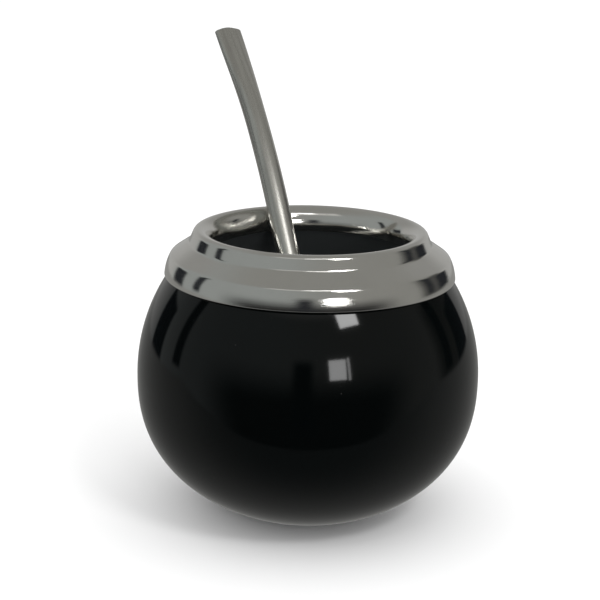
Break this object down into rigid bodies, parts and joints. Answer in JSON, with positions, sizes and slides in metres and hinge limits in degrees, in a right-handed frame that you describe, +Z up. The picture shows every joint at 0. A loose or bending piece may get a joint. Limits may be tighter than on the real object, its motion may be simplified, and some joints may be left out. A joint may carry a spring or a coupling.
{
  "type": "mate cup with drinking straw",
  "caption": "Round glazed mate cup with a polished metal collar on its neck and a bent metal drinking straw leaning in it, empty.",
  "frame": {"origin": "centre of the cup's flat base, on the surface that it stands on", "axes": "+Z up along the cup's axis; the straw leans towards +Y and a little towards -X"},
  "size_m": [0.097, 0.1172, 0.1305],
  "materials": {
    "gourd": "gloss black glaze outside, satin dark grey inside",
    "collar": "polished, with fine turning marks round it",
    "straw": "satin"
  },
  "bodies": {
    "root": {"gourd": "gourd", "collar": "collar", "straw": "straw"}
  },
  "joints": []
}
